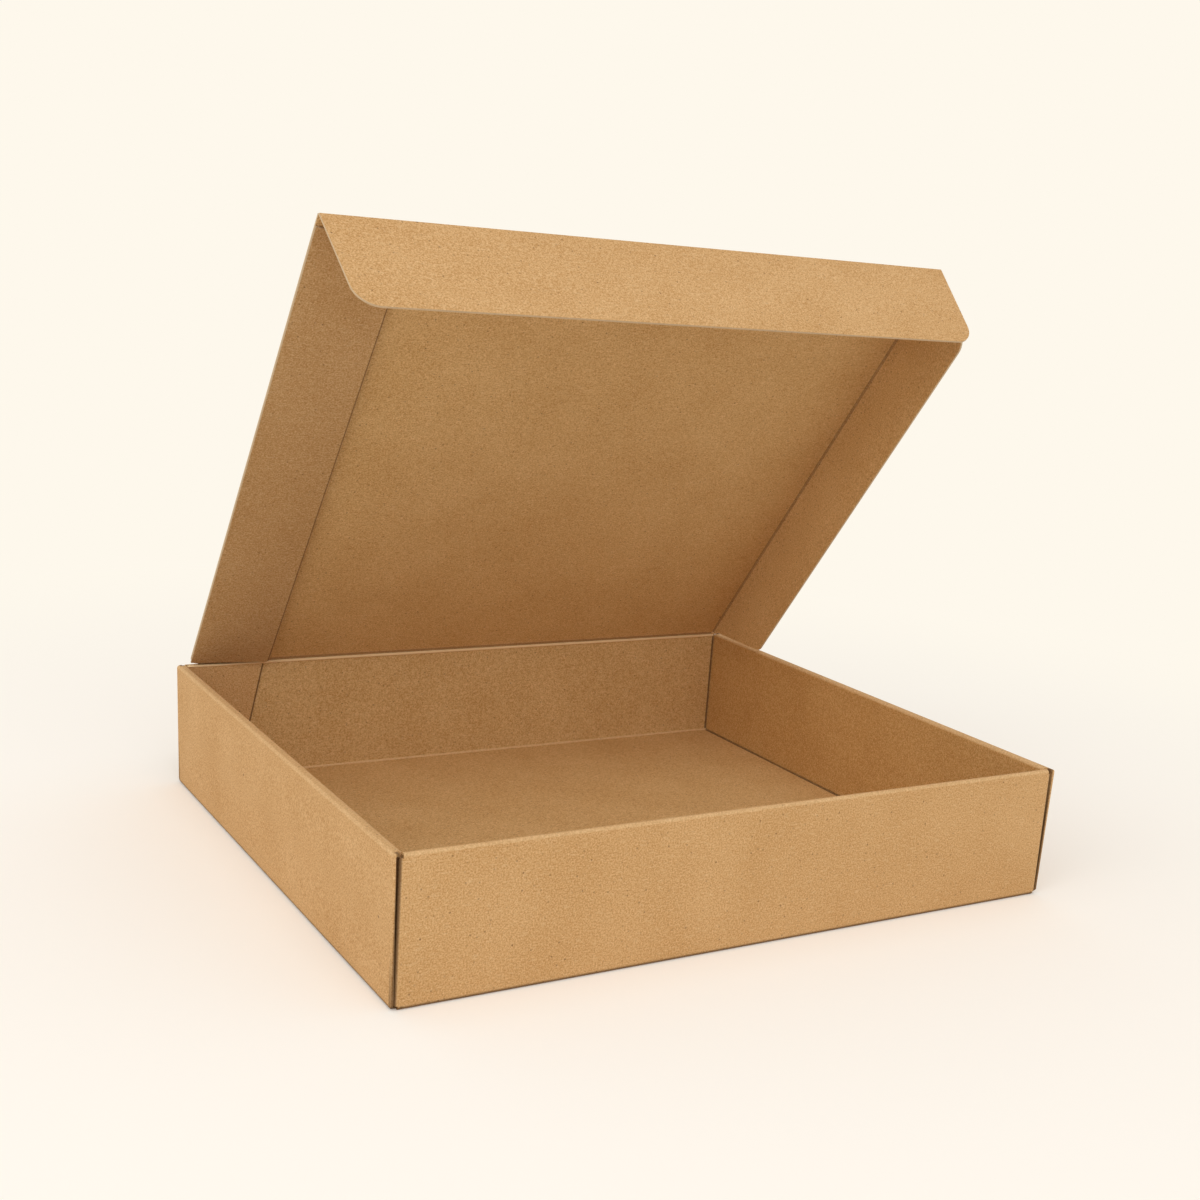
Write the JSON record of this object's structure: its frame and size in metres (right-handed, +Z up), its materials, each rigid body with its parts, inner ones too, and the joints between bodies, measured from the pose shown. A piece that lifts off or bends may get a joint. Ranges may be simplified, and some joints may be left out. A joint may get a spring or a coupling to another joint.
{
  "type": "pizza slice box",
  "caption": "Low kraft board tray with rolled side walls and a hinged lid, half open, with a tapered front tuck flap and two fold-in side flaps.",
  "frame": {"origin": "centre of the tray's underside, on the table", "axes": "+X to the right seen from the front, along the longest side; +Y from the front wall to the lid's hinge; +Z up"},
  "size_m": [0.235, 0.203, 0.2029],
  "materials": {
    "kraft_board": "matt, uncoated, fine fibre fleck"
  },
  "bodies": {
    "tray": {"tray": "kraft_board"},
    "lid": {"lid_panel": "kraft_board"},
    "front_flap": {"front_tuck_flap": "kraft_board"},
    "left_flap": {"left_side_flap": "kraft_board"},
    "right_flap": {"right_side_flap": "kraft_board"}
  },
  "joints": [
    {"name": "lid_hinge", "type": "hinge", "parent": "tray", "child": "lid", "pos_m": [0, 0.10115, 0.04445], "axis": [-1, 0, 0], "range_deg": [-52.5, 127.5]},
    {"name": "front_flap_crease", "type": "hinge", "parent": "lid", "child": "front_flap", "pos_m": [0, -0.02055, 0.2024], "axis": [1, 0, 0], "range_deg": [-96, 4]},
    {"name": "left_flap_crease", "type": "hinge", "parent": "lid", "child": "left_flap", "pos_m": [-0.11315, 0.03926, 0.12445], "axis": [0, -0.6088, 0.7934], "range_deg": [-85, 0]},
    {"name": "right_flap_crease", "type": "hinge", "parent": "lid", "child": "right_flap", "pos_m": [0.11315, 0.03926, 0.12445], "axis": [0, 0.6088, -0.7934], "range_deg": [-91, 85]}
  ]
}
